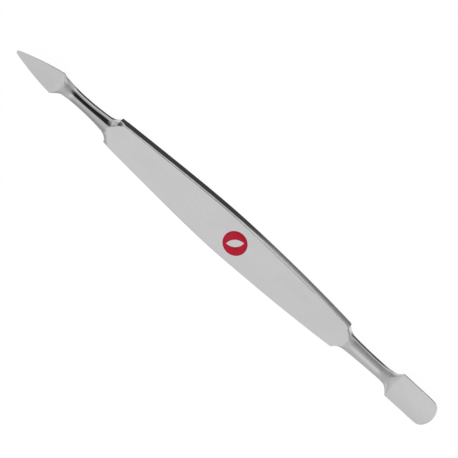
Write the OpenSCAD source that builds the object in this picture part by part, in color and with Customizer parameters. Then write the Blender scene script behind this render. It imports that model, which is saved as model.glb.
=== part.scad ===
// Double-ended cuticle pusher: a flat steel handle with a spear-shaped nail
// cleaner at one end (-X) and a spade-shaped cuticle pusher at the other (+X).
// Each tip is a forging of its own. Its round tang is brazed into a blind
// socket in the handle's end, and the neck is ground flush with the handle.
//
// X runs along the tool, Y across it and Z up through its thickness. The
// origin is the middle of the handle's flat back, and the printed face is up.

/* [Handle] */
// Length of the handle from shoulder to shoulder
handle_length = 69.2; // [62:0.2:74]
// Width of the handle at its widest place
handle_width = 10.27; // [9.3:0.01:11]
// Distance of the widest place from the middle, towards the pusher
widest_offset = 1; // [0:0.1:3]
// Width of the handle at the nail cleaner's shoulders
cleaner_shoulder_width = 6.86; // [6.4:0.02:7.4]
// Width of the handle at the pusher's shoulders
pusher_shoulder_width = 6.87; // [6.4:0.01:7.4]
// Thickness of the handle
handle_thickness = 2.7; // [2.6:0.1:3.2]
// Radius of the handle's long edges
edge_radius = 0.35; // [0.2:0.05:0.45]

/* [Necks] */
// Width of the nail cleaner's neck at its waist
cleaner_waist = 3.05; // [2.8:0.05:3.4]
// Width of the cuticle pusher's neck at its waist
pusher_waist = 3.3; // [2.8:0.05:3.5]
// Width of both necks where they leave the handle's bosses
neck_root_width = 3.9; // [3.8:0.05:4.4]
// Thickness of both necks
neck_thickness = 2.4; // [2.2:0.05:2.5]

/* [Nail cleaner blade] */
// Distance from the middle of the handle to the spear's point
cleaner_reach = 62.4; // [60:0.1:66]
// Length of the spear from its shoulders to its point
cleaner_blade_length = 11.3; // [10.5:0.1:12.5]
// Greatest width of the spear
cleaner_blade_width = 6.15; // [5.6:0.05:6.8]
// Height of the spear's front at its shoulders
cleaner_level = 2.68; // [2.6:0.02:2.9]
// Rise of the spear for each millimetre of length
cleaner_rise = 0.138; // [0.08:0.001:0.15]

/* [Cuticle pusher blade] */
// Distance from the middle of the handle to the pusher's end
pusher_reach = 62.4; // [60:0.1:66]
// Length of the pusher blade from its shoulders to its end
pusher_blade_length = 11.4; // [10:0.05:12.5]
// Width of the pusher blade
pusher_blade_width = 7.25; // [6.6:0.05:8]
// Height of the pusher's front at its shoulders
pusher_level = 2.1; // [2:0.05:2.3]
// Depth of the shallow hollow in the pusher's front
pusher_hollow = 0.1; // [0.02:0.02:0.16]

/* [Brazed joints] */
// Diameter of each tip's tang
tang_diameter = 1.4; // [1.2:0.1:1.5]
// Length of each tip's tang
tang_length = 9; // [5:0.5:14]
// Thickness of the braze metal around each tang
braze_gap = 0.05; // [0.03:0.01:0.08]

/* [Printed emblem] */
// Diameter of the emblem's disc
emblem_diameter = 5.9; // [4:0.1:6.5]
// Distance of the emblem from the middle of the handle
emblem_offset = 2.9; // [-6:0.1:8]
// Thickness of the ink
ink_thickness = 0.04; // [0.02:0.01:0.06]

/* [Hidden] */

steel = [0.78, 0.78, 0.78];
braze_metal = [0.80, 0.78, 0.70];
emblem_red = [0.66, 0.07, 0.17];

shoulder = handle_length / 2;       // distance of the shoulders from the origin
half_thickness = handle_thickness / 2;
neck_floor = 0.05;                  // the necks clear the resting plane by this
neck_axis = neck_floor + neck_thickness / 2;
boss_length = 2.4;
seat = shoulder + boss_length;      // where each neck meets the handle's boss
root_half = neck_root_width / 2;

// The flat face runs out onto each neck in an arch, which starts this far
// before the shoulder and closes this far past it.
cleaner_arch = [1.5, 1.15];
pusher_arch = [0.3, 3.5];
// A higher power gives the arch a sharper point.
cleaner_arch_power = 0.8;
pusher_arch_power = 1.3;
// Each neck is narrowest at this share of its length, from the seat.
cleaner_waist_share = 0.49;
pusher_waist_share = 0.6;
// Each neck sweeps out to its blade's corners over this length.
cleaner_sweep_run = 3.1;
pusher_sweep_run = 2.35;

// Both ends use the same section functions, and an end is one of these lists:
// [arch start, arch apex, arch power, waist place, waist half width, blade root,
//  blade corner, blade half width, reach].
cleaner_corner = cleaner_reach - cleaner_blade_length;
cleaner_end = [shoulder - cleaner_arch[0], shoulder + cleaner_arch[1], cleaner_arch_power,
               mix(seat, cleaner_corner, cleaner_waist_share), cleaner_waist / 2,
               cleaner_corner - cleaner_sweep_run, cleaner_corner, cleaner_blade_width / 2,
               cleaner_reach];
pusher_corner = pusher_reach - pusher_blade_length;
pusher_end = [shoulder - pusher_arch[0], shoulder + pusher_arch[1], pusher_arch_power,
              mix(seat, pusher_corner, pusher_waist_share), pusher_waist / 2,
              pusher_corner - pusher_sweep_run, pusher_corner, pusher_blade_width / 2,
              pusher_reach];
function arch_start(end) = end[0];
function arch_apex(end) = end[1];
function arch_power(end) = end[2];
function waist_at(end) = end[3];
function waist_half(end) = end[4];
function blade_root(end) = end[5];
function blade_corner(end) = end[6];
function blade_half(end) = end[7];
function reach(end) = end[8];
function is_pusher(end) = end == pusher_end;

// ---- small helpers ----

function clamp01(v) = max(0, min(1, v));
function ease(v) = let (c = clamp01(v)) c * c * (3 - 2 * c);
function ease_between(from, to, x) = ease((x - from) / (to - from));
function mix(a, b, v) = a + (b - a) * v;
// The smaller of two values, with the corner between them rounded over k.
function soft_min(a, b, k) = let (h = max(k - abs(a - b), 0) / k) min(a, b) - h * h * k / 4;
function soft_max(a, b, k) = -soft_min(-a, -b, k);

// ---- outline of one end, seen from above ----

// Each side of the handle falls away from its widest place: in one even curve
// towards the pusher, and in a curve that straightens towards the nail cleaner.
taper_bend = 13;
function bent_taper(u) = sqrt(u * u + taper_bend * taper_bend) - taper_bend;
function pusher_side_half(u) =
    (handle_width - (handle_width - pusher_shoulder_width)
        * pow(u / (shoulder - widest_offset), 2)) / 2;
function cleaner_side_half(u) =
    (handle_width - (handle_width - cleaner_shoulder_width)
        * bent_taper(u) / bent_taper(shoulder + widest_offset)) / 2;
// Half width of the bar, where x is negative on the nail cleaner's side.
function bar_half(x) =
    x > widest_offset ? pusher_side_half(x - widest_offset)
                      : cleaner_side_half(widest_offset - x);
function bar_half_at(end, x) = bar_half(is_pusher(end) ? x : -x);

// The shoulder is a hollow fillet that drops from the bar's corner to the neck.
fillet_power = 1.9;
function fillet_half(end, x) =
    let (k = clamp01((seat - x) / (seat - shoulder)))
    root_half + (bar_half_at(end, shoulder) - root_half)
        * (1 - pow(1 - pow(k, fillet_power), 1 / fillet_power));

// The neck narrows to its waist and widens again to the root of the blade.
root_gain = 0.26;
function neck_half(end, x) =
    let (before = (waist_at(end) - x) / (waist_at(end) - seat),
         after = (x - waist_at(end)) / (blade_root(end) - waist_at(end)))
    x < waist_at(end)
        ? mix(waist_half(end), root_half, before * before)
        : waist_half(end) + root_gain * pow(min(after, 1), 2);

// The blade's shoulder sweeps out from the neck.
sweep_power = 1.75;
sweep_overshoot = 1.12;
function sweep_half(end, x) =
    let (k = max(0, (x - blade_root(end)) / (blade_corner(end) - blade_root(end))),
         gain = (blade_half(end) - waist_half(end) - root_gain) * sweep_overshoot)
    neck_half(end, x) + gain * pow(k, sweep_power);

// Spear: slightly bowed sides that run to a small round point.
point_radius = 0.42;
point_half = 0.3;
spear_bow = 0.0089;
point_blend = 0.12;
function spear_half(u) =
    let (slope = (cleaner_blade_width / 2 - point_half) / cleaner_blade_length
                 + spear_bow * cleaner_blade_length,
         side = point_half + slope * u - spear_bow * u * u,
         cap = u < point_radius ? sqrt(2 * point_radius * u - u * u) : point_radius + u)
    soft_min(side, cap, point_blend);

// Spade: parallel sides and a shallow round end with softened corners.
spade_end_radius = 4.7;
spade_corner_blend = 1;
function spade_half(u) =
    let (v = min(u, spade_end_radius))
    soft_min(pusher_blade_width / 2,
             sqrt(2 * spade_end_radius * v - v * v) + max(0, u - spade_end_radius),
             spade_corner_blend);

blade_corner_blend = 0.12;
function tip_half(end, x) =
    let (u = reach(end) - x)
    soft_min(sweep_half(end, x), is_pusher(end) ? spade_half(u) : spear_half(u),
             blade_corner_blend);

function half_width(end, x) =
    x <= shoulder ? bar_half_at(end, x) : x < seat ? fillet_half(end, x) : tip_half(end, x);

// ---- heights of one end, seen from the side ----

// How far the section has left the bar's flat face and settled to the neck.
crest_run = 3.2;
crest_limit = seat - 0.6;           // the fall has begun before the seat
function crest_fall(end, x) =
    let (v = clamp01((x - min(arch_apex(end), crest_limit)) / crest_run)) 1 - pow(1 - v, 2);

neck_top = neck_floor + neck_thickness;
rise_blend = 0.3;
function cleaner_front(x) =
    soft_max(neck_top, cleaner_level + cleaner_rise * (x - cleaner_corner), rise_blend);
level_run = 5;
spoon_curve = 0.002;
function pusher_front(x) =
    mix(neck_top, pusher_level, ease_between(pusher_corner - level_run, pusher_corner, x))
        + spoon_curve * pow(max(0, x - pusher_corner), 2);
function front(end, x) =
    let (neck = is_pusher(end) ? pusher_front(x) : cleaner_front(x))
    mix(handle_thickness, neck, crest_fall(end, x));

// The blades thin towards their ends, and their rims are rounded over.
blade_root_thickness = 1;
blade_tip_thickness = 0.45;
rim_radius = 0.22;
function blade_thickness(end, x) =
    mix(blade_root_thickness, blade_tip_thickness,
        clamp01((x - blade_corner(end)) / (reach(end) - blade_corner(end))));
function rim_factor(end, x) =
    let (u = min(reach(end) - x, rim_radius) / rim_radius) sqrt(1 - pow(1 - u, 2));
// The back lifts over this run, which ends just past the blade's corner.
back_run = 6.4;
back_overrun = 0.3;
function back(end, x) =
    let (stop = blade_corner(end) + back_overrun)
    mix(neck_floor * crest_fall(end, x), front(end, x) - blade_thickness(end, x),
        ease_between(stop - back_run, stop, x));

// How far the section has turned from a round neck into a flat blade.
flattening_run = 2.4;
function bladeness(end, x) =
    ease_between(blade_corner(end) - flattening_run, blade_corner(end), x);

// Height of the widest line: mid-height on the bar, a little lower on the nail
// cleaner's neck, and near the front on the blade, whose back falls away.
edge_depth = 0.2;
cleaner_neck_drop = 0.15;
function neck_middle(end) = neck_axis - (is_pusher(end) ? 0 : cleaner_neck_drop);
function widest(end, x) =
    let (plain = mix(half_thickness, neck_middle(end), ease_between(arch_start(end), seat, x)))
    mix(plain, front(end, x) - edge_depth, bladeness(end, x));

// Half height of the upright part of the side, which never quite vanishes.
side_land = 0.07;
land_power = 2.5;
function side_half(end, x) =
    let (v = clamp01((x - arch_start(end)) / (seat - arch_start(end))))
    max(side_land, (half_thickness - edge_radius) * (1 - pow(v, land_power)));

// Half width of the flat front and of the flat back. On the bar a flat stops an
// edge radius short of the side, and past the arch's start it follows the arch.
function bar_flat(end, x) = bar_half_at(end, x) - edge_radius;
function arch_flat(end, x) =
    let (v = clamp01((x - arch_start(end)) / (arch_apex(end) - arch_start(end))))
    min(half_width(end, x) - edge_radius,
        bar_flat(end, arch_start(end)) * pow(1 - v, arch_power(end)));
// The flat's share of the width: a hair along a neck's crest, most of a blade's
// front and less of its back.
crest_share = 0.08;
front_share = 0.93;
back_share = 0.45;
function flat_half(end, x, share) =
    max(x <= arch_start(end) ? bar_flat(end, x) : arch_flat(end, x),
        half_width(end, x) * mix(crest_share, share, bladeness(end, x)));
function front_flat(end, x) = flat_half(end, x, front_share);
function back_flat(end, x) = flat_half(end, x, back_share);
function hollow(end, x) = is_pusher(end) ? pusher_hollow * bladeness(end, x) : 0;

// ---- one ring of points round a section ----

corner_steps = 5;
corner_power = 1.15;
flat_steps = 4;
// A quarter of a section, from the edge of a flat down to the side.
function quarter(flat, half, rise, land) =
    [for (i = [0 : corner_steps])
        let (a = 90 * i / corner_steps)
        [flat + (half - flat) * pow(sin(a), corner_power), land + (rise - land) * cos(a)]];
// The points across a flat, between its two edges, left to right.
function across(flat, level, sink) =
    [for (i = [1 : flat_steps - 1])
        let (v = 2 * i / flat_steps - 1)
        [flat * v, level - sink * (1 - v * v)]];
function reversed(list) = [for (i = [len(list) - 1 : -1 : 0]) list[i]];

land_limit = 0.8;   // the upright part's share of the height, at most
function section(end, x) =
    let (half = half_width(end, x),
         mid = widest(end, x),
         squash = rim_factor(end, x),
         rise = (front(end, x) - mid) * squash,
         depth = (mid - back(end, x)) * squash,
         land = min(side_half(end, x), rise * land_limit, depth * land_limit),
         top = quarter(front_flat(end, x), half, rise, land),
         under = quarter(back_flat(end, x), half, depth, land),
         sink = hollow(end, x) * squash)
    concat(
        [for (p = across(front_flat(end, x), rise, sink)) [x, p[0], mid + p[1]]],
        [for (p = top) [x, p[0], mid + p[1]]],
        [for (p = reversed(under)) [x, p[0], mid - p[1]]],
        [for (p = reversed(across(back_flat(end, x), depth, 0))) [x, p[0], mid - p[1]]],
        [for (p = under) [x, -p[0], mid - p[1]]],
        [for (p = reversed(top)) [x, -p[0], mid + p[1]]]);

// The same ring at the other end of the tool.
function mirrored(ring) = [for (p = ring) [-p[0], p[1], p[2]]];

// A closed skin through rings that have the same number of points each, with a
// fan of triangles round a middle point on each end.
function middle(ring) =
    let (ones = [for (p = ring) 1])
    [for (axis = [0 : 2]) [for (p = ring) p[axis]] * ones / len(ring)];
module skin(rings) {
    n = len(rings[0]);
    last = len(rings) - 1;
    first_middle = (last + 1) * n;
    faces = [for (i = [0 : n - 1])
        let (j = (i + 1) % n)
        each concat(
            [[j, i, first_middle], [last * n + i, last * n + j, first_middle + 1]],
            [for (r = [0 : last - 1])
                each [[r * n + i, r * n + j, (r + 1) * n + j],
                      [r * n + i, (r + 1) * n + j, (r + 1) * n + i]]])];
    polyhedron(points = concat([for (ring = rings) each ring],
                               [middle(rings[0]), middle(rings[last])]),
               faces = faces, convexity = 6);
}

// ---- stations along one end ----

function spread(from, to, steps) = [for (i = [0 : steps]) mix(from, to, i / steps)];
// The fillet's first ring lies this far past the shoulder.
shoulder_gap = 0.06;
arch_steps = 4;
fillet_steps = 9;
function boss_stations(end) =
    concat(spread(arch_start(end), shoulder, arch_steps),
           spread(shoulder + shoulder_gap, seat, fillet_steps));
bar_steps = 22;
function bar_stations() =
    let (from = -arch_start(cleaner_end), to = arch_start(pusher_end))
    [for (i = [1 : bar_steps - 1]) mix(from, to, i / bar_steps)];
// A tip's rings run along its neck, along the sweep past the blade's corners and
// along the blade. The last ones crowd together so that the end comes out round.
neck_steps = 10;
sweep_steps = 10;
blade_steps = 6;
end_steps = 9;
root_gap = 0.5;
corner_overrun = 0.6;
corner_gap = 1;
end_run = 2.2;
end_gap = 0.012;
function tip_stations(end) =
    concat(spread(seat, blade_root(end) - root_gap, neck_steps),
           spread(blade_root(end), blade_corner(end) + corner_overrun, sweep_steps),
           spread(blade_corner(end) + corner_overrun + corner_gap, reach(end) - end_run, blade_steps),
           [for (i = [end_steps - 1 : -1 : 0])
               reach(end) - end_gap - end_run * pow(i / end_steps, 2)]);

// ---- sub-parts ----

// A rod along +X whose outer end lies at the seat.
module seat_rod(radius, length) {
    translate([seat, 0, neck_axis]) rotate([0, -90, 0]) cylinder(r = radius, h = length, $fn = 64);
}

module tang() {
    seat_rod(tang_diameter / 2, tang_length);
}

module socket() {
    seat_rod(tang_diameter / 2 + braze_gap, tang_length + braze_gap);
}

module handle() {
    color(steel)
    difference() {
        skin(concat(
            [for (x = reversed(boss_stations(cleaner_end))) mirrored(section(cleaner_end, x))],
            [for (x = bar_stations()) section(pusher_end, x)],
            [for (x = boss_stations(pusher_end)) section(pusher_end, x)]));
        mirror([1, 0, 0]) socket();
        socket();
    }
}

module tip(end) {
    skin([for (x = tip_stations(end)) section(end, x)]);
    tang();
}

module nail_cleaner() {
    color(steel) mirror([1, 0, 0]) tip(cleaner_end);
}

module cuticle_pusher() {
    color(steel) tip(pusher_end);
}

// Braze metal fills the sleeve and the bottom of a socket.
module braze() {
    color(braze_metal)
    difference() {
        socket();
        tang();
    }
}

module nail_cleaner_braze() {
    mirror([1, 0, 0]) braze();
}

module cuticle_pusher_braze() {
    braze();
}

// A plain disc of ink with a bare leaf left open across it. The leaf is where
// two circles of one size overlap.
leaf_length_share = 0.72;
leaf_width_share = 0.3;
leaf_turn = 45;
module printed_emblem() {
    leaf_length = emblem_diameter * leaf_length_share;
    leaf_width = emblem_diameter * leaf_width_share;
    leaf_radius = (pow(leaf_length, 2) + pow(leaf_width, 2)) / (4 * leaf_width);
    color(emblem_red)
    translate([emblem_offset, 0, handle_thickness])
        linear_extrude(ink_thickness)
            difference() {
                circle(d = emblem_diameter, $fn = 96);
                rotate(leaf_turn) intersection() {
                    translate([0, leaf_width / 2 - leaf_radius]) circle(r = leaf_radius, $fn = 96);
                    translate([0, leaf_radius - leaf_width / 2]) circle(r = leaf_radius, $fn = 96);
                }
            }
}

handle();
nail_cleaner();
cuticle_pusher();
nail_cleaner_braze();
cuticle_pusher_braze();
printed_emblem();
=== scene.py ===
"""Looks for a double-ended steel cuticle pusher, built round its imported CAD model.

X runs along the tool towards the pusher, Y across it and Z out of the printed face. The shape
functions work in millimetres, and whatever reaches Blender is in metres.
"""

from collections import namedtuple
from math import cos, pi, radians, sin, sqrt

import bpy
import numpy as np
from mathutils import Matrix, Vector


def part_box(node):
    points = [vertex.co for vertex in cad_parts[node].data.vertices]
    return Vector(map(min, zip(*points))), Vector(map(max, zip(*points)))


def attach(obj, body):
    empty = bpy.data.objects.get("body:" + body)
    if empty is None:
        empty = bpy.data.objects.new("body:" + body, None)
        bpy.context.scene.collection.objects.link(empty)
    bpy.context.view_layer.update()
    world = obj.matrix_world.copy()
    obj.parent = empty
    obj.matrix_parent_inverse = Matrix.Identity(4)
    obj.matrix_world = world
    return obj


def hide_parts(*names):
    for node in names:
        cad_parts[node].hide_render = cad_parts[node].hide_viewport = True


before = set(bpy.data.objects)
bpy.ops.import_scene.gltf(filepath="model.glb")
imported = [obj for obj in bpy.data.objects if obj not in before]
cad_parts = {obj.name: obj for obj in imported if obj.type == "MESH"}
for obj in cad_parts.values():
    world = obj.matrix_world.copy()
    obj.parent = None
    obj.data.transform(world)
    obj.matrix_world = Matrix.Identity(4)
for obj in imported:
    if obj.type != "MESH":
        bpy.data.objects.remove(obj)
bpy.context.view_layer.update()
scene = bpy.context.scene
METRES = 0.001


# ---- driving dimensions, in millimetres ----

def box_mm(node):
    return [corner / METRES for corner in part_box(node)]


handle_high = box_mm("handle")[1]
cleaner_low, cleaner_high = box_mm("nail_cleaner")
pusher_low, pusher_high = box_mm("cuticle_pusher")
emblem_low, emblem_high = box_mm("printed_emblem")
braze_low, braze_high = box_mm("cuticle_pusher_braze")

SEAT = handle_high.x                    # where each neck meets the handle
SHOULDER = SEAT - 2.4                   # the bar's end corners
WIDTH = 2 * handle_high.y
THICKNESS = handle_high.z
WIDEST_AT = 1.0
CLEANER_SHOULDER = 6.86                 # widths at the two shoulders
PUSHER_SHOULDER = 6.87
TAPER_BEND = 13.0                       # how far the cleaner side stays curved
NECK_FLOOR = 0.05
NECK_THICKNESS = 2.4
ROOT_HALF = 1.95
CLEANER_REACH = -cleaner_low.x
CLEANER_HALF = cleaner_high.y
CLEANER_LENGTH = 11.29
CLEANER_LEVEL = 2.672
CLEANER_RISE = 0.138
PUSHER_REACH = pusher_high.x
PUSHER_HALF = pusher_high.y
PUSHER_LENGTH = 11.39
PUSHER_LEVEL = 2.1
PUSHER_HOLLOW = 0.1
TANG_RADIUS = 0.7
TANG_END = pusher_low.x
SOCKET_RADIUS = (braze_high.z - braze_low.z) / 2
SOCKET_END = braze_low.x
NECK_AXIS = (braze_high.z + braze_low.z) / 2
HALF_THICKNESS = THICKNESS / 2


# ---- small helpers ----

def clamp01(v):
    return max(0.0, min(1.0, v))


def ease(v):
    c = clamp01(v)
    return c * c * (3 - 2 * c)


def ease_between(start, stop, x):
    return ease((x - start) / (stop - start))


def mix(a, b, v):
    return a + (b - a) * v


def soft_min(a, b, k):
    """The smaller of two values, with the corner between them rounded over k."""
    h = max(k - abs(a - b), 0) / k
    return min(a, b) - h * h * k / 4


def soft_max(a, b, k):
    return -soft_min(-a, -b, k)


# ---- the two ends ----

End = namedtuple("End", "arch_start arch_apex arch_power waist_at waist_half blade_root "
                        "blade_corner blade_half reach pusher")

cleaner_corner = CLEANER_REACH - CLEANER_LENGTH
pusher_corner = PUSHER_REACH - PUSHER_LENGTH
CLEANER = End(SHOULDER - 1.5, SHOULDER + 1.15, 0.8, mix(SEAT, cleaner_corner, 0.49), 1.525,
              cleaner_corner - 3.1, cleaner_corner, CLEANER_HALF, CLEANER_REACH, False)
PUSHER = End(SHOULDER - 0.3, SHOULDER + 3.5, 1.3, mix(SEAT, pusher_corner, 0.6), 1.65,
             pusher_corner - 2.35, pusher_corner, PUSHER_HALF, PUSHER_REACH, True)


# ---- outline of one end, seen from above ----

def bent_taper(u):
    """A curve that leaves level and settles to a straight slope."""
    return sqrt(u * u + TAPER_BEND ** 2) - TAPER_BEND


def bar_half(x):
    """Half width of the bar at x, where the cleaner's side is negative."""
    u = abs(x - WIDEST_AT)
    if x > WIDEST_AT:
        fall = (WIDTH - PUSHER_SHOULDER) / 2 * (u / (SHOULDER - WIDEST_AT)) ** 2
    else:
        fall = ((WIDTH - CLEANER_SHOULDER) / 2 * bent_taper(u) / bent_taper(SHOULDER + WIDEST_AT))
    return WIDTH / 2 - fall


def signed(end, x):
    return x if end.pusher else -x


ROUND_FROM, ROUND_TO = -3, 12


def roundness(end, x):
    """The bar's sides are upright towards the nail cleaner and round towards the pusher."""
    return ease_between(ROUND_FROM, ROUND_TO, signed(end, x))


NARROW_EDGE, PLAIN_EDGE = 0.22, 0.28    # the long edge at the cleaner's shoulder and past it
EDGE_GROWS = (-34, -12)
ROUND_EDGE_GAIN = 0.12                  # wider where the sides are round
EDGE_LOSS = 0.12                        # and narrower again at the pusher's shoulder
EDGE_SHRINKS = (22, 32)
FRONT_EDGE_HEIGHTS = (0.54, 1.1)        # where the sides are upright, and where they are round
BACK_EDGE_HEIGHTS = (0.27, 0.55)


def edge_width(end, x):
    """How far the worn long edge cuts into the flat."""
    place = signed(end, x)
    return (mix(NARROW_EDGE, PLAIN_EDGE, ease_between(*EDGE_GROWS, place))
            + ROUND_EDGE_GAIN * roundness(end, x) - EDGE_LOSS * ease_between(*EDGE_SHRINKS, place))


def front_edge_height(end, x):
    return mix(*FRONT_EDGE_HEIGHTS, roundness(end, x))


def back_edge_height(end, x):
    return mix(*BACK_EDGE_HEIGHTS, roundness(end, x))


FILLET_POWER = 1.9


def fillet_half(end, x):
    k = clamp01((SEAT - x) / (SEAT - SHOULDER))
    drop = 1 - (1 - k ** FILLET_POWER) ** (1 / FILLET_POWER)
    return ROOT_HALF + (bar_half(signed(end, SHOULDER)) - ROOT_HALF) * drop


ROOT_GAIN = 0.26


def neck_half(end, x):
    if x < end.waist_at:
        before = (end.waist_at - x) / (end.waist_at - SEAT)
        return mix(end.waist_half, ROOT_HALF, before ** 2)
    after = (x - end.waist_at) / (end.blade_root - end.waist_at)
    return end.waist_half + ROOT_GAIN * min(after, 1) ** 2


SWEEP_POWER = 1.75
SWEEP_OVERSHOOT = 1.12


def sweep_half(end, x):
    k = max(0, (x - end.blade_root) / (end.blade_corner - end.blade_root))
    gain = (end.blade_half - end.waist_half - ROOT_GAIN) * SWEEP_OVERSHOOT
    return neck_half(end, x) + gain * k ** SWEEP_POWER


POINT_RADIUS = 0.42
POINT_HALF = 0.3
SPEAR_BOW = 0.0089
CORNER_BLEND = 0.12                     # rounds the corners where two outline curves meet


def spear_half(u):
    slope = (CLEANER_HALF - POINT_HALF) / CLEANER_LENGTH + SPEAR_BOW * CLEANER_LENGTH
    side = POINT_HALF + slope * u - SPEAR_BOW * u * u
    cap = sqrt(2 * POINT_RADIUS * u - u * u) if u < POINT_RADIUS else POINT_RADIUS + u
    return soft_min(side, cap, CORNER_BLEND)


SPADE_END_RADIUS = 4.7
SPADE_BLEND = 1


def spade_half(u):
    v = min(u, SPADE_END_RADIUS)
    cap = sqrt(2 * SPADE_END_RADIUS * v - v * v) + max(0, u - SPADE_END_RADIUS)
    return soft_min(PUSHER_HALF, cap, SPADE_BLEND)


def half_width(end, x):
    if x <= SHOULDER:
        return bar_half(signed(end, x))
    if x < SEAT:
        return fillet_half(end, x)
    u = max(end.reach - x, 0)
    blade = spade_half(u) if end.pusher else spear_half(u)
    return soft_min(sweep_half(end, x), blade, CORNER_BLEND)


# ---- heights of one end, seen from the side ----

CREST_RUN = 3.2


def crest_fall(end, x):
    v = clamp01((x - min(end.arch_apex, SEAT - 0.6)) / CREST_RUN)
    return 1 - (1 - v) ** 2


LEVEL_RUN = 5.0
SPOON_CURVE = 0.002


def front(end, x):
    neck = NECK_FLOOR + NECK_THICKNESS
    past = x - end.blade_corner
    if end.pusher:
        tip = mix(neck, PUSHER_LEVEL, ease_between(-LEVEL_RUN, 0, past))
        tip += SPOON_CURVE * max(0, past) ** 2
    else:
        tip = soft_max(neck, CLEANER_LEVEL + CLEANER_RISE * past, 0.3)
    return mix(THICKNESS, tip, crest_fall(end, x))


BLADE_ROOT_THICKNESS = 1.0
BLADE_TIP_THICKNESS = 0.45
RIM_RADIUS = 0.22
BACK_RUN = 6.4


def blade_thickness(end, x):
    along = clamp01((x - end.blade_corner) / (end.reach - end.blade_corner))
    return mix(BLADE_ROOT_THICKNESS, BLADE_TIP_THICKNESS, along)


def rim_factor(end, x):
    u = min(max(end.reach - x, 0), RIM_RADIUS) / RIM_RADIUS
    return sqrt(1 - (1 - u) ** 2)


def back(end, x):
    stop = end.blade_corner + 0.3
    lifted = front(end, x) - blade_thickness(end, x)
    return mix(NECK_FLOOR * crest_fall(end, x), lifted, ease_between(stop - BACK_RUN, stop, x))


def bladeness(end, x):
    """0 on the round neck, 1 on the flat blade."""
    return ease_between(end.blade_corner - 2.4, end.blade_corner, x)


EDGE_DEPTH = 0.15
CLEANER_NECK_DROP = 0.15


def widest(end, x):
    neck = NECK_AXIS - (0 if end.pusher else CLEANER_NECK_DROP)
    plain = mix(HALF_THICKNESS, neck, ease_between(end.arch_start, SEAT, x))
    return mix(plain, front(end, x) - EDGE_DEPTH, bladeness(end, x))


SIDE_LAND = 0.15
PUSHER_SIDE_LAND = 0.6                  # the pusher's neck is squarer towards the front
RIM_LAND = 0.06                         # the same on a blade's thin rim
NECK_SIDE_FADES, NECK_SIDE_ENDS = 6, 3  # how far before the blade's corner
LAND_FADE_POWER = 2.5
LAND_LIMIT = 0.8                        # the largest share of a side that is upright
EDGE_BEVELS = (0.3, 0.5)                # where the sides are upright, and where they are round
BACK_EDGE_SHARE = 0.55                  # width of the back's edge, against the front's
SIDE_CROWN = 0.02                       # how far the upright side bulges


def side_half(end, x, edge_height, neck_land):
    """Height of the upright side above or below the widest line."""
    v = clamp01((x - end.arch_start) / (SEAT - end.arch_start))
    fades, ends = end.blade_corner - NECK_SIDE_FADES, end.blade_corner - NECK_SIDE_ENDS
    on_neck = ease_between(SHOULDER, SEAT, x) - ease_between(fades, ends, x)
    least = mix(mix(SIDE_LAND, neck_land, on_neck), RIM_LAND, bladeness(end, x))
    return max(least, (HALF_THICKNESS - edge_height) * (1 - v ** LAND_FADE_POWER))


CREST_SHARE = 0.08
FRONT_SHARE = 0.975
BACK_SHARE = 0.45


def flat_half(end, x, share, inset_share):
    v = clamp01((x - end.arch_start) / (end.arch_apex - end.arch_start))
    inset = inset_share * edge_width(end, end.arch_start)
    arch = (bar_half(signed(end, end.arch_start)) - inset) * (1 - v) ** end.arch_power
    half = half_width(end, x)
    flat = half - inset_share * edge_width(end, x)
    if x > end.arch_start:
        flat = min(flat, arch)
    return max(flat, half * mix(CREST_SHARE, share, bladeness(end, x)))


# ---- one ring of points round a section ----

FLAT_STEPS = 10
CORNER_STEPS = 16
LAND_STEPS = 8


def quarter(flat, half, rise, land, bevel):
    """(y, z) from the edge of a flat down to the top of the upright side. It is round
    where bevel is 0, and it straightens as bevel rises to 1."""
    points = []
    for i in range(CORNER_STEPS + 1):
        v = i / CORNER_STEPS
        out = mix(sin(pi / 2 * v), v, bevel)
        up = mix(cos(pi / 2 * v), 1 - v, bevel)
        points.append((mix(flat, half, out), mix(land, rise, up)))
    return points


def section(end, x):
    """The ring at x as points, starting at the middle of the front."""
    half = half_width(end, x)
    mid = widest(end, x)
    squash = rim_factor(end, x)
    rise = (front(end, x) - mid) * squash
    depth = (mid - back(end, x)) * squash
    front_land = PUSHER_SIDE_LAND if end.pusher else SIDE_LAND
    land = min(side_half(end, x, front_edge_height(end, x), front_land), rise * LAND_LIMIT)
    under_land = min(side_half(end, x, back_edge_height(end, x), SIDE_LAND), depth * LAND_LIMIT)
    flatness = bladeness(end, x)
    sink = PUSHER_HOLLOW * flatness * squash if end.pusher else 0.0
    crown = SIDE_CROWN * land / HALF_THICKNESS
    front_flat = flat_half(end, x, FRONT_SHARE, 1)
    back_flat = flat_half(end, x, BACK_SHARE, BACK_EDGE_SHARE)
    bevel = mix(*EDGE_BEVELS, roundness(end, x)) * (1 - ease_between(end.arch_start - 1, SEAT, x))
    right = []
    for i in range(FLAT_STEPS):
        v = sin(pi / 2 * i / FLAT_STEPS)
        right.append((front_flat * v, rise - sink * (1 - v * v)))
    right += quarter(front_flat, half - crown, rise, land, bevel)
    for i in range(1, LAND_STEPS):
        v = i / LAND_STEPS
        right.append((half - crown * (2 * v - 1) ** 2, mix(land, -under_land, v)))
    under = quarter(back_flat, half - crown, depth, under_land, bevel)
    right += [(y, -z) for y, z in reversed(under)]
    for i in range(FLAT_STEPS - 1, 0, -1):
        v = sin(pi / 2 * i / FLAT_STEPS)
        right.append((back_flat * v, -depth))
    ring = right + [(0.0, -depth)] + [(-y, z) for y, z in reversed(right[1:])]
    return [(x, y, mid + z) for y, z in ring]


# ---- finish values carried by each point ----

FLAT_SATIN = 1.0
UPRIGHT_SATIN, ROUND_SATIN = 0.05, 1.7  # the bar's sides
FLANK_SATIN = 2.2                       # the pusher's neck, off its front and back
BLADE_ROOT_SATIN = 2.6
FLANK_STARTS, FLANK_STOPS = (0.05, 0.25), (0.8, 1.0)


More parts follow.
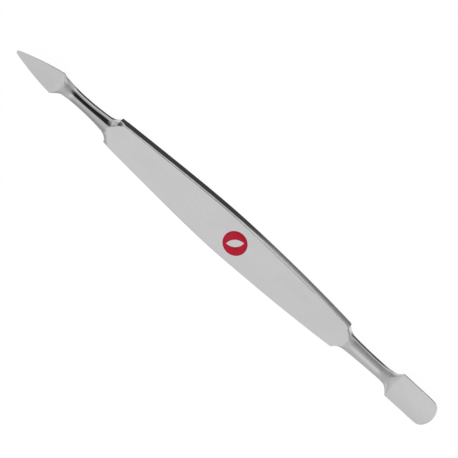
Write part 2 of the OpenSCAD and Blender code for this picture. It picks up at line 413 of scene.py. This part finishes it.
def finish_of(end, index, x):
    """(satin, wear) of one point of a ring. A satin of 0 is polished, 1 is a satin flat, and
    more is matt."""
    half_ring = 2 * FLAT_STEPS + 2 * (CORNER_STEPS + 1) + LAND_STEPS - 2
    i = index if index <= half_ring else 2 * half_ring - index
    back_start = half_ring - FLAT_STEPS
    on_flat = i <= FLAT_STEPS or i >= back_start
    on_corner = (FLAT_STEPS < i <= FLAT_STEPS + CORNER_STEPS
                 or back_start - CORNER_STEPS <= i < back_start)
    blade = ease_between(end.blade_corner - 5.3, end.blade_corner - 3.0, x)
    on_blade = ease_between(end.blade_corner - 2.6, end.blade_corner - 0.8, x)
    blade_satin = mix(BLADE_ROOT_SATIN, FLAT_SATIN, on_blade)
    neck = ease_between(end.arch_apex - 0.2, end.arch_apex + 0.4, x)
    round_way = (min(i, half_ring - i) - FLAT_STEPS) / CORNER_STEPS
    on_flank = ease_between(*FLANK_STARTS, round_way) - ease_between(*FLANK_STOPS, round_way)
    neck_satin = mix(FLAT_SATIN, FLANK_SATIN, on_flank) if end.pusher else 0.0
    side_satin = mix(UPRIGHT_SATIN, ROUND_SATIN, roundness(end, x))
    side_satin = mix(side_satin, neck_satin, ease_between(SHOULDER - 0.2, SHOULDER + 0.3, x))
    bar_satin = FLAT_SATIN if on_flat else side_satin
    satin = mix(mix(bar_satin, neck_satin, neck), blade_satin, blade)
    wear = 1.0 if on_corner and neck < 0.5 else 0.0
    return satin, wear


# ---- meshes ----

def add_mesh(name, points, faces, layers=None):
    mesh = bpy.data.meshes.new(name)
    mesh.from_pydata([tuple(c * METRES for c in p) for p in points], [], faces)
    for layer, values in (layers or {}).items():
        attribute = mesh.attributes.new(layer, "FLOAT", "POINT")
        attribute.data.foreach_set("value", np.array(values, np.float32))
    mesh.validate()
    mesh.shade_smooth()
    mesh.set_sharp_from_angle(angle=radians(50))
    piece = bpy.data.objects.new(name, mesh)
    scene.collection.objects.link(piece)
    return piece


def loft(rings):
    """Faces of a closed skin through equal rings; the two ends close on a middle point."""
    n = len(rings[0])
    last = len(rings) - 1
    points = [p for ring in rings for p in ring]
    points.append(tuple(np.mean(rings[0], axis=0)))
    points.append(tuple(np.mean(rings[last], axis=0)))
    start, stop = len(points) - 2, len(points) - 1
    faces = []
    for i in range(n):
        j = (i + 1) % n
        faces.append((i, j, start))
        faces.append((last * n + j, last * n + i, stop))
        for r in range(last):
            faces.append((r * n + j, r * n + i, (r + 1) * n + i, (r + 1) * n + j))
    return points, faces


def round_ring(radius, x, count):
    """A circle of points on the neck's axis, starting at the top like a section."""
    angles = [2 * pi * i / count for i in range(count)]
    return [(x, radius * sin(a), NECK_AXIS + radius * cos(a)) for a in angles]


def spread(start, stop, steps):
    return [mix(start, stop, i / steps) for i in range(steps + 1)]


def mirrored(ring):
    return [(-x, y, z) for x, y, z in ring]


def boss_stations(end, steps):
    return spread(end.arch_start, SHOULDER, steps // 2) + spread(SHOULDER + 0.02, SEAT, steps)


END_RUN = 2.2


def tip_stations(end):
    stations = spread(SEAT, end.blade_root - 0.1, 70)
    stations += spread(end.blade_root, end.blade_corner + 0.6, 60)
    stations += spread(end.blade_corner + 0.75, end.reach - END_RUN - 0.15, 40)
    stations += [end.reach - 0.0008 - END_RUN * (i / 40) ** 2 for i in range(40, -1, -1)]
    return stations


def with_finish(end, stations, flip=False):
    rings = [section(end, x) for x in stations]
    values = [finish_of(end, i, x) for x in stations for i in range(len(rings[0]))]
    if flip:
        rings = [mirrored(ring) for ring in rings]
    return rings, values


BORE_FINISH = (0.6, 0.0)


def finish_layers(values):
    return {"satin": [v[0] for v in values], "wear": [v[1] for v in values]}


def build_handle():
    left_rings, left_values = with_finish(CLEANER, boss_stations(CLEANER, 44)[::-1], flip=True)
    bar = spread(-CLEANER.arch_start, PUSHER.arch_start, 150)[1:-1]
    bar_rings = [section(PUSHER, x) for x in bar]
    bar_values = [finish_of(PUSHER, i, x) for x in bar for i in range(len(bar_rings[0]))]
    right_rings, right_values = with_finish(PUSHER, boss_stations(PUSHER, 44))
    outer = left_rings + bar_rings + right_rings
    n = len(outer[0])
    bore_left = [mirrored(round_ring(SOCKET_RADIUS, x, n)) for x in (SOCKET_END, SEAT)]
    bore_right = [round_ring(SOCKET_RADIUS, x, n) for x in (SEAT, SOCKET_END)]
    rings = bore_left + outer + bore_right
    bore = [BORE_FINISH] * (2 * n)
    middles = [BORE_FINISH] * 2
    values = bore + left_values + bar_values + right_values + bore + middles
    points, faces = loft(rings)
    return add_mesh("handle_bar", points, faces, finish_layers(values))


def build_tip(name, end, flip):
    outer, outer_values = with_finish(end, tip_stations(end), flip)
    n = len(outer[0])
    tang = [round_ring(TANG_RADIUS, x, n) for x in (TANG_END, SEAT)]
    if flip:
        tang = [mirrored(ring) for ring in tang]
    values = [BORE_FINISH] * (2 * n) + outer_values + [BORE_FINISH] * 2
    points, faces = loft(tang + outer)
    if flip:
        faces = [face[::-1] for face in faces]
    return add_mesh(name, points, faces, finish_layers(values))


BRAZE_STEPS = 64
CUP_MIDDLE = 0.25                       # radius of the fan of faces at a cup's middle


def build_braze(name, flip):
    """A cup of braze metal: the sleeve round the tang and the film under its end."""
    side = -1 if flip else 1
    profile = [(CUP_MIDDLE, SOCKET_END), (SOCKET_RADIUS, SOCKET_END), (SOCKET_RADIUS, SEAT),
               (TANG_RADIUS, SEAT), (TANG_RADIUS, TANG_END), (CUP_MIDDLE, TANG_END)]
    points = []
    for radius, x in profile:
        for i in range(BRAZE_STEPS):
            a = 2 * pi * i / BRAZE_STEPS
            points.append((side * x, radius * sin(a), NECK_AXIS + radius * cos(a)))
    points += [(side * SOCKET_END, 0, NECK_AXIS), (side * TANG_END, 0, NECK_AXIS)]
    outer_middle, inner_middle = len(points) - 2, len(points) - 1
    faces = []
    for i in range(BRAZE_STEPS):
        j = (i + 1) % BRAZE_STEPS
        faces.append((outer_middle, i, j))
        for r in range(len(profile) - 1):
            faces.append((r * BRAZE_STEPS + i, (r + 1) * BRAZE_STEPS + i,
                          (r + 1) * BRAZE_STEPS + j, r * BRAZE_STEPS + j))
        base = (len(profile) - 1) * BRAZE_STEPS
        faces.append((base + i, inner_middle, base + j))
    if not flip:
        faces = [face[::-1] for face in faces]
    return add_mesh(name, points, faces)


EMBLEM_STEPS = 240
LEAF_LENGTH_SHARE = 0.72
LEAF_WIDTH_SHARE = 0.3
LEAF_TURN = radians(45)
INK_BEVEL = 0.012


def build_emblem():
    """A printed disc with a bare leaf left open across it."""
    radius = (emblem_high.x - emblem_low.x) / 2
    middle = (emblem_high.x + emblem_low.x) / 2
    length, width = 2 * radius * LEAF_LENGTH_SHARE, 2 * radius * LEAF_WIDTH_SHARE
    arc = (length ** 2 + width ** 2) / (4 * width)
    offset = arc - width / 2

    def leaf_radius(angle):
        rise = abs(sin(angle - LEAF_TURN))
        return -offset * rise + sqrt((offset * rise) ** 2 + arc ** 2 - offset ** 2)

    bottom, top = emblem_low.z, emblem_high.z
    loops = [(0, 0.0, bottom), (0, 0.0, top - INK_BEVEL), (0, INK_BEVEL, top),
             (1, INK_BEVEL, top), (1, 0.0, top - INK_BEVEL), (1, 0.0, bottom)]
    points = []
    for inner, inset, level in loops:
        for i in range(EMBLEM_STEPS):
            a = 2 * pi * i / EMBLEM_STEPS
            r = leaf_radius(a) + inset if inner else radius - inset
            points.append((middle + r * cos(a), r * sin(a), level))
    faces = []
    count = len(loops)
    for i in range(EMBLEM_STEPS):
        j = (i + 1) % EMBLEM_STEPS
        for r in range(count):
            s = (r + 1) % count
            faces.append((r * EMBLEM_STEPS + i, r * EMBLEM_STEPS + j,
                          s * EMBLEM_STEPS + j, s * EMBLEM_STEPS + i))
    return add_mesh("emblem_ink", points, faces)


# ---- materials ----

class Nodes:
    """A few short ways to add shader nodes to one tree."""

    def __init__(self, tree):
        self.tree = tree

    def add(self, kind, **settings):
        node = self.tree.nodes.new(kind)
        for key, value in settings.items():
            if key.startswith("in_"):
                node.inputs[key[3:].replace("_", " ")].default_value = value
            else:
                setattr(node, key, value)
        return node

    def link(self, source, target):
        self.tree.links.new(source, target)

    def stretched(self, scale, turn=0.0):
        """Object coordinates, turned about Z and scaled to so many cycles per metre."""
        coord = self.add("ShaderNodeTexCoord")
        mapping = self.add("ShaderNodeMapping")
        mapping.inputs["Rotation"].default_value = (0, 0, turn)
        mapping.inputs["Scale"].default_value = scale
        self.link(coord.outputs["Object"], mapping.inputs["Vector"])
        return mapping.outputs["Vector"]

    def noise(self, scale, detail, turn=0.0):
        node = self.add("ShaderNodeTexNoise", in_Scale=1.0, in_Detail=detail)
        self.link(self.stretched(scale, turn), node.inputs["Vector"])
        return node.outputs["Fac"]

    def math(self, operation, a, b=None):
        node = self.add("ShaderNodeMath", operation=operation)
        for i, value in enumerate((a, b)):
            if value is None:
                continue
            if isinstance(value, (int, float)):
                node.inputs[i].default_value = value
            else:
                self.link(value, node.inputs[i])
        return node.outputs[0]

    def ranged(self, value, low, high, to_low=0.0, to_high=1.0):
        node = self.add("ShaderNodeMapRange")
        self.link(value, node.inputs["Value"])
        node.inputs["From Min"].default_value = low
        node.inputs["From Max"].default_value = high
        node.inputs["To Min"].default_value = to_low
        node.inputs["To Max"].default_value = to_high
        return node.outputs["Result"]

    def blend(self, share, a, b):
        """A colour between a and b."""
        node = self.add("ShaderNodeMix", data_type="RGBA")
        self.link(share, node.inputs[0])
        for value, socket in ((a, node.inputs[6]), (b, node.inputs[7])):
            if isinstance(value, tuple):
                socket.default_value = (*value, 1)
            else:
                self.link(value, socket)
        return node.outputs[2]


def new_material(name):
    material = bpy.data.materials.new(name)
    material.use_nodes = True
    nodes = Nodes(material.node_tree)
    return material, nodes, material.node_tree.nodes["Principled BSDF"]


SATIN_ROUGHNESS = 0.30
POLISHED_ROUGHNESS = 0.10
LEAST_ROUGHNESS = 0.04


def steel(name):
    """Stainless steel, satin or polished point by point, with fine lengthwise grinding."""
    material, n, shader = new_material(name)
    shader.inputs["Metallic"].default_value = 1.0
    satin = n.add("ShaderNodeAttribute", attribute_name="satin").outputs["Fac"]
    wear = n.add("ShaderNodeAttribute", attribute_name="wear").outputs["Fac"]
    grain = n.noise((60, 7000, 7000), detail=3)
    streaks = n.noise((25, 1800, 1800), detail=2)
    smudge = n.noise((110, 260, 260), detail=3)
    hairs = n.noise((160, 9000, 9000), detail=1, turn=radians(14))
    hairs = n.ranged(hairs, 0.66, 0.72)
    nicks = n.noise((900, 900, 900), detail=4)

    rough = n.math("MULTIPLY", satin, SATIN_ROUGHNESS - POLISHED_ROUGHNESS)
    rough = n.math("ADD", rough, POLISHED_ROUGHNESS)
    rough = n.math("ADD", rough, n.math("MULTIPLY", n.ranged(smudge, 0.3, 0.7, -0.5, 0.5), 0.035))
    rough = n.math("ADD", rough, n.math("MULTIPLY", n.ranged(grain, 0.3, 0.7, -0.5, 0.5), 0.05))
    rough = n.math("ADD", rough, n.math("MULTIPLY", hairs, 0.06))
    rough = n.math("MAXIMUM", rough, LEAST_ROUGHNESS)
    n.link(rough, shader.inputs["Roughness"])

    tone = n.math("ADD", n.math("MULTIPLY", streaks, 0.35), n.math("MULTIPLY", grain, 0.65))
    tone = n.ranged(tone, 0.35, 0.65)
    dull = n.blend(tone, (0.742, 0.742, 0.744), (0.768, 0.768, 0.768))
    bright = n.blend(tone, (0.51, 0.51, 0.515), (0.54, 0.54, 0.54))
    colour = n.blend(satin, bright, dull)
    worn = n.math("MULTIPLY", wear, n.ranged(nicks, 0.45, 0.6))
    colour = n.blend(n.math("MULTIPLY", worn, 0.5), colour, (0.80, 0.80, 0.80))
    n.link(colour, shader.inputs["Base Color"])

    height = n.math("MULTIPLY", grain, n.ranged(satin, 0, 1, 0.08, 1.0))
    height = n.math("SUBTRACT", height, n.math("MULTIPLY", hairs, 0.4))
    bump = n.add("ShaderNodeBump", in_Strength=0.5, in_Distance=4e-6)
    n.link(height, bump.inputs["Height"])
    n.link(bump.outputs["Normal"], shader.inputs["Normal"])
    return material


def braze_metal():
    material, n, shader = new_material("braze_metal")
    shader.inputs["Metallic"].default_value = 1.0
    mottle = n.noise((1500, 1500, 1500), detail=4)
    n.link(n.blend(n.ranged(mottle, 0.35, 0.65), (0.62, 0.58, 0.46), (0.74, 0.70, 0.60)),
           shader.inputs["Base Color"])
    n.link(n.ranged(mottle, 0.3, 0.7, 0.35, 0.5), shader.inputs["Roughness"])
    bump = n.add("ShaderNodeBump", in_Strength=0.4, in_Distance=1e-5)
    n.link(mottle, bump.inputs["Height"])
    n.link(bump.outputs["Normal"], shader.inputs["Normal"])
    return material


def red_ink():
    """Screen-printed ink: a little uneven, with the steel's grain faintly showing through."""
    material, n, shader = new_material("red_ink")
    shader.inputs["Specular IOR Level"].default_value = 0.18
    cloud = n.noise((700, 700, 700), detail=3)
    grain = n.noise((60, 7000, 7000), detail=3)
    colour = n.blend(n.ranged(cloud, 0.35, 0.65), (0.43, 0.004, 0.025), (0.49, 0.008, 0.034))
    n.link(colour, shader.inputs["Base Color"])
    n.link(n.ranged(cloud, 0.3, 0.7, 0.42, 0.54), shader.inputs["Roughness"])
    bump = n.add("ShaderNodeBump", in_Strength=0.35, in_Distance=4e-6)
    n.link(n.math("ADD", grain, n.math("MULTIPLY", cloud, 1.5)), bump.inputs["Height"])
    n.link(bump.outputs["Normal"], shader.inputs["Normal"])
    return material


# ---- staging: camera, floor and lights ----

CAMERA_TILT = radians(25)               # from straight above, towards +Y
TOOL_SLOPE = radians(41.94)             # how steeply the tool runs down the picture
CAMERA_DISTANCE = 0.7
FRAME_WIDTH = 0.1032
SHIFT_RIGHT, SHIFT_UP = 0.000427, 0.000886
SENSOR = 36.0


def add_camera():
    toward = Vector((0, sin(CAMERA_TILT), cos(CAMERA_TILT)))
    across = Vector((0, cos(CAMERA_TILT), -sin(CAMERA_TILT)))
    along = Vector((1, 0, 0))
    right = cos(TOOL_SLOPE) * along + sin(TOOL_SLOPE) * across
    up = -sin(TOOL_SLOPE) * along + cos(TOOL_SLOPE) * across
    middle = Vector((0, 0, HALF_THICKNESS * METRES))
    target = middle + SHIFT_RIGHT * right + SHIFT_UP * up
    data = bpy.data.cameras.new("camera")
    data.sensor_width = SENSOR
    data.lens = SENSOR * CAMERA_DISTANCE / FRAME_WIDTH
    data.clip_start, data.clip_end = 0.01, 50
    camera = bpy.data.objects.new("camera", data)
    turn = Matrix((right, up, toward)).transposed()
    camera.matrix_world = Matrix.Translation(target + toward * CAMERA_DISTANCE) @ turn.to_4x4()
    scene.collection.objects.link(camera)
    scene.camera = camera


FLOOR_HALF = 8.0
FLOOR_GAP = 0.00002
FLOOR_GLOW = 0.975


def add_floor():
    """A plain pale table, softly lit from within like a light table."""
    corners = [(-FLOOR_HALF, -FLOOR_HALF, 0), (FLOOR_HALF, -FLOOR_HALF, 0),
               (FLOOR_HALF, FLOOR_HALF, 0), (-FLOOR_HALF, FLOOR_HALF, 0)]
    mesh = bpy.data.meshes.new("floor")
    mesh.from_pydata(corners, [], [(0, 1, 2, 3)])
    floor = bpy.data.objects.new("floor", mesh)
    floor.location.z = -FLOOR_GAP
    floor.visible_glossy = False
    scene.collection.objects.link(floor)
    material, n, shader = new_material("floor")
    shader.inputs["Base Color"].default_value = (0.03, 0.03, 0.03, 1)
    shader.inputs["Roughness"].default_value = 1.0
    shader.inputs["Specular IOR Level"].default_value = 0.0
    shader.inputs["Emission Color"].default_value = (1, 1, 1, 1)
    shader.inputs["Emission Strength"].default_value = FLOOR_GLOW
    mesh.materials.append(material)


def add_soft_light(name, place, size, power):
    """A large soft light that fills the matt surfaces and stays out of the steel."""
    data = bpy.data.lights.new(name, "AREA")
    data.size = size
    data.energy = power
    light = bpy.data.objects.new(name, data)
    light.location = place
    light.rotation_euler = (-Vector(place)).to_track_quat("-Z", "Y").to_euler()
    light.visible_camera = False
    light.visible_glossy = False
    scene.collection.objects.link(light)


# Brightness of the studio round the tool's long axis. Each stop is degrees from straight up
# towards +Y, and the brightness there. They are set to give the steel its bands.
STUDIO = [(-180, 0.06), (-165, 0.14), (-150, 0.40), (-120, 0.55), (-62, 0.57), (-46, 0.66),
          (-36, 0.83), (-16, 0.84), (-10, 0.62), (-5, 0.04), (49, 0.02), (57, 0.54), (66, 0.68),
          (84, 0.72), (90, 1.00), (112, 0.95), (121, 0.40), (129, 0.13), (141, 0.06),
          (154, 0.08), (180, 0.06)]


# The limits below are X or Z of the direction that a reflection looks in. A low white card
# stands off each end of the tool.
CARD_START, CARD_FULL = -0.25, -0.38
CARD_TOP, CARD_BOTTOM = -0.2, -0.6
FAR_CARD_START, FAR_CARD_FULL = 0.2, 0.36
FAR_CARD_TOP, FAR_CARD_BOTTOM = -0.55, -0.8
# The ramp is dimmer towards the pusher's end.
DIM_START, DIM_FULL, DIM_LEVEL = 0.12, 0.5, 0.5
# Above the tool, the studio turns evenly bright towards both ends.
END_START, END_FULL, END_LEVEL = 0.38, 0.66, 0.75
END_LOW, END_HIGH = -0.1, 0.15


def add_studio():
    world = bpy.data.worlds.new("studio")
    world.use_nodes = True
    scene.world = world
    tree = world.node_tree
    n = Nodes(tree)
    output = tree.nodes["World Output"]
    studio = tree.nodes["Background"]
    coord = n.add("ShaderNodeTexCoord")
    axes = n.add("ShaderNodeSeparateXYZ")
    n.link(coord.outputs["Generated"], axes.inputs[0])
    angle = n.math("ARCTAN2", axes.outputs["Y"], axes.outputs["Z"])
    ramp = n.add("ShaderNodeValToRGB")
    n.link(n.ranged(angle, -pi, pi), ramp.inputs["Fac"])
    card = n.math("MULTIPLY", n.ranged(axes.outputs["X"], CARD_START, CARD_FULL),
                  n.ranged(axes.outputs["Z"], CARD_TOP, CARD_BOTTOM))
    far_card = n.math("MULTIPLY", n.ranged(axes.outputs["X"], FAR_CARD_START, FAR_CARD_FULL),
                      n.ranged(axes.outputs["Z"], FAR_CARD_TOP, FAR_CARD_BOTTOM))
    dim = n.ranged(axes.outputs["X"], DIM_START, DIM_FULL)
    stops = ramp.color_ramp.elements
    while len(stops) < len(STUDIO):
        stops.new(0.5)
    for stop, (degrees, level) in zip(stops, STUDIO):
        stop.position = degrees / 360 + 0.5
        stop.color = (level, level, level, 1)
    shade = n.blend(n.math("MULTIPLY", dim, DIM_LEVEL), ramp.outputs["Color"], (0.0, 0.0, 0.0))
    lengthwise = n.math("ABSOLUTE", axes.outputs["X"])
    ends = n.math("MULTIPLY", n.ranged(lengthwise, END_START, END_FULL),
                  n.ranged(axes.outputs["Z"], END_LOW, END_HIGH))
    shade = n.blend(ends, shade, (END_LEVEL, END_LEVEL, END_LEVEL))
    cards = n.math("MAXIMUM", card, far_card)
    n.link(n.blend(cards, shade, (1.0, 1.0, 1.0)), studio.inputs["Color"])
    backdrop = n.add("ShaderNodeBackground")
    backdrop.inputs["Color"].default_value = (1, 1, 1, 1)
    path = n.add("ShaderNodeLightPath")
    chooser = n.add("ShaderNodeMixShader")
    n.link(path.outputs["Is Camera Ray"], chooser.inputs[0])
    n.link(studio.outputs[0], chooser.inputs[1])
    n.link(backdrop.outputs[0], chooser.inputs[2])
    n.link(chooser.outputs[0], output.inputs["Surface"])


# ---- the scene ----

scene.view_settings.view_transform = "Standard"
add_camera()
add_floor()
add_studio()
add_soft_light("overhead_light", (0.0, -0.3, 1.4), 1.6, 11)

handle_steel = steel("handle_steel")
tip_steel = steel("tip_steel")
braze = braze_metal()
ink = red_ink()

pieces = [
    (build_handle(), "handle", "handle_steel", handle_steel),
    (build_tip("nail_cleaner_tip", CLEANER, True), "nail_cleaner", "tip_steel", tip_steel),
    (build_tip("cuticle_pusher_tip", PUSHER, False), "cuticle_pusher", "tip_steel", tip_steel),
    (build_braze("nail_cleaner_braze_cup", True), "nail_cleaner_braze", "braze_metal", braze),
    (build_braze("cuticle_pusher_braze_cup", False), "cuticle_pusher_braze", "braze_metal", braze),
    (build_emblem(), "printed_emblem", "red_ink", ink),
]
for piece, node, slot, material in pieces:
    piece.data.materials.append(material)
    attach(piece, "root")
    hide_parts(node)
